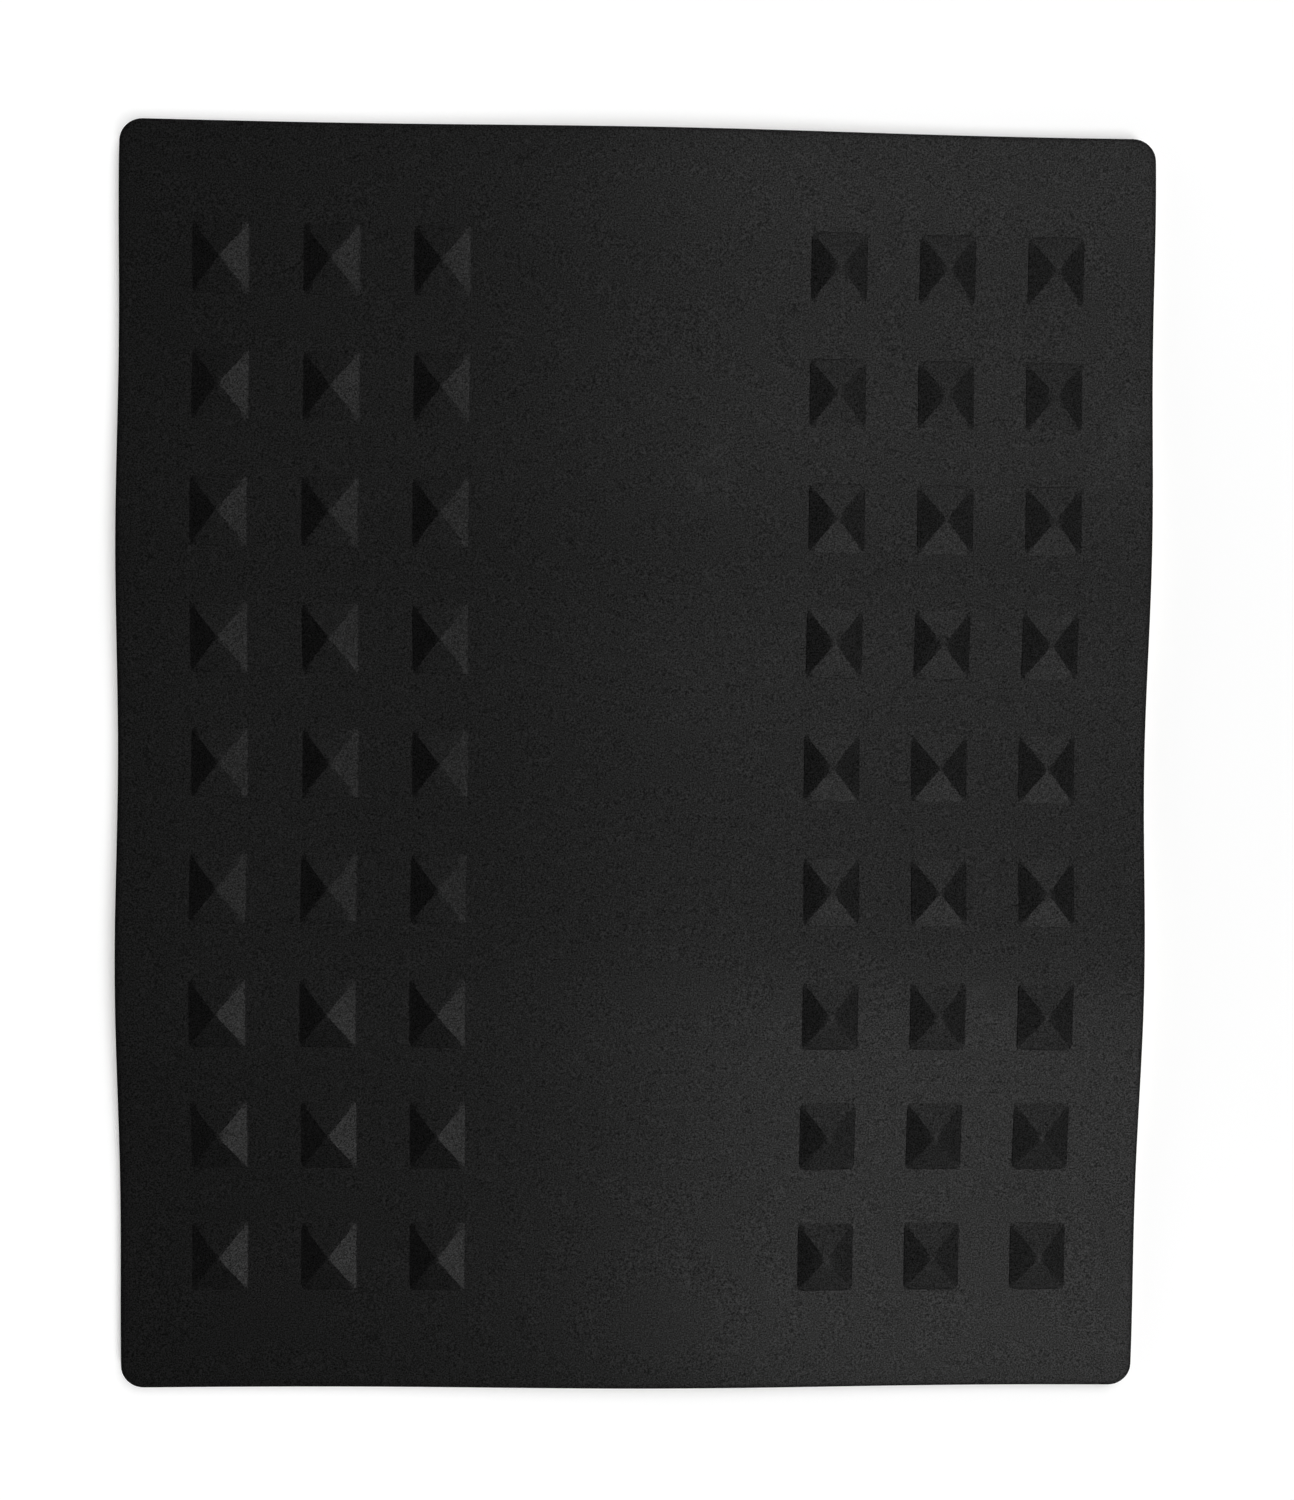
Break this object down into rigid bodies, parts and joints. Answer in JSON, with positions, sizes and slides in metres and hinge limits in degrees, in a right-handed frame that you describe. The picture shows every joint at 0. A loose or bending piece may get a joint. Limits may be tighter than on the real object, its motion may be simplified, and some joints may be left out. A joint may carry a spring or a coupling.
{
  "type": "snowboard stomp pad",
  "caption": "Thin moulded rubber traction pad with two blocks of low pyramid studs, an adhesive back and a split peel-off release liner.",
  "frame": {"origin": "centre of the rectangular outline, on the flat underside of the release liner that the pad rests on", "axes": "+Y along the long side, +X across the short side, +Z out of the studded face"},
  "size_m": [0.13, 0.16, 0.003],
  "materials": {
    "moulded_rubber": "matte black with a fine moulded grain and a soft sheen",
    "adhesive": "slightly glossy translucent pressure-sensitive adhesive",
    "liner_paper": "smooth silicone-coated kraft paper"
  },
  "bodies": {
    "pad": {"grip_pad": "moulded_rubber", "adhesive_film": "adhesive"},
    "liner_left": {"release_liner_left": "liner_paper"},
    "liner_right": {"release_liner_right": "liner_paper"}
  },
  "joints": [
    {"name": "peel_left", "type": "hinge", "parent": "pad", "child": "liner_left", "pos_m": [-0.065, 0, 0.002], "axis": [0, 1, 0], "range_deg": [0, 179]},
    {"name": "peel_right", "type": "hinge", "parent": "pad", "child": "liner_right", "pos_m": [0.065, 0, 0.002], "axis": [0, -1, 0], "range_deg": [0, 179]}
  ]
}
